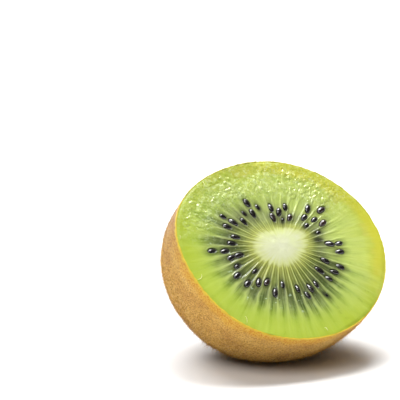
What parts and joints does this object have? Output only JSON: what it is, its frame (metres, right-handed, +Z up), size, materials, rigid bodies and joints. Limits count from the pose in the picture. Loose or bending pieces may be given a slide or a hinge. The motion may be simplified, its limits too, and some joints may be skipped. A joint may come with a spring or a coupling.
{
  "type": "kiwi fruit half",
  "caption": "Half of a kiwi fruit, cut across, with green flesh, a ring of black pips, a pale core and furry brown skin, lying on a small flat spot with the cut turned up and forward.",
  "frame": {"origin": "middle of the small flat spot that the half rests on, at the level of the surface under it", "axes": "+Z up, -Y the way the cut looks, +X to the right seen from in front of the cut"},
  "size_m": [0.0537, 0.0451, 0.0455],
  "materials": {
    "flesh": "wet translucent green flesh with darker streaks round the pips and a yellow rim",
    "core": "moist pale cream core",
    "pips": "glossy black brown seeds",
    "skin": "dull brown skin",
    "fuzz": "short golden brown hairs",
    "stem_end": "dry woody ring"
  },
  "bodies": {
    "root": {"flesh": "flesh", "core": "core"}
  },
  "joints": []
}
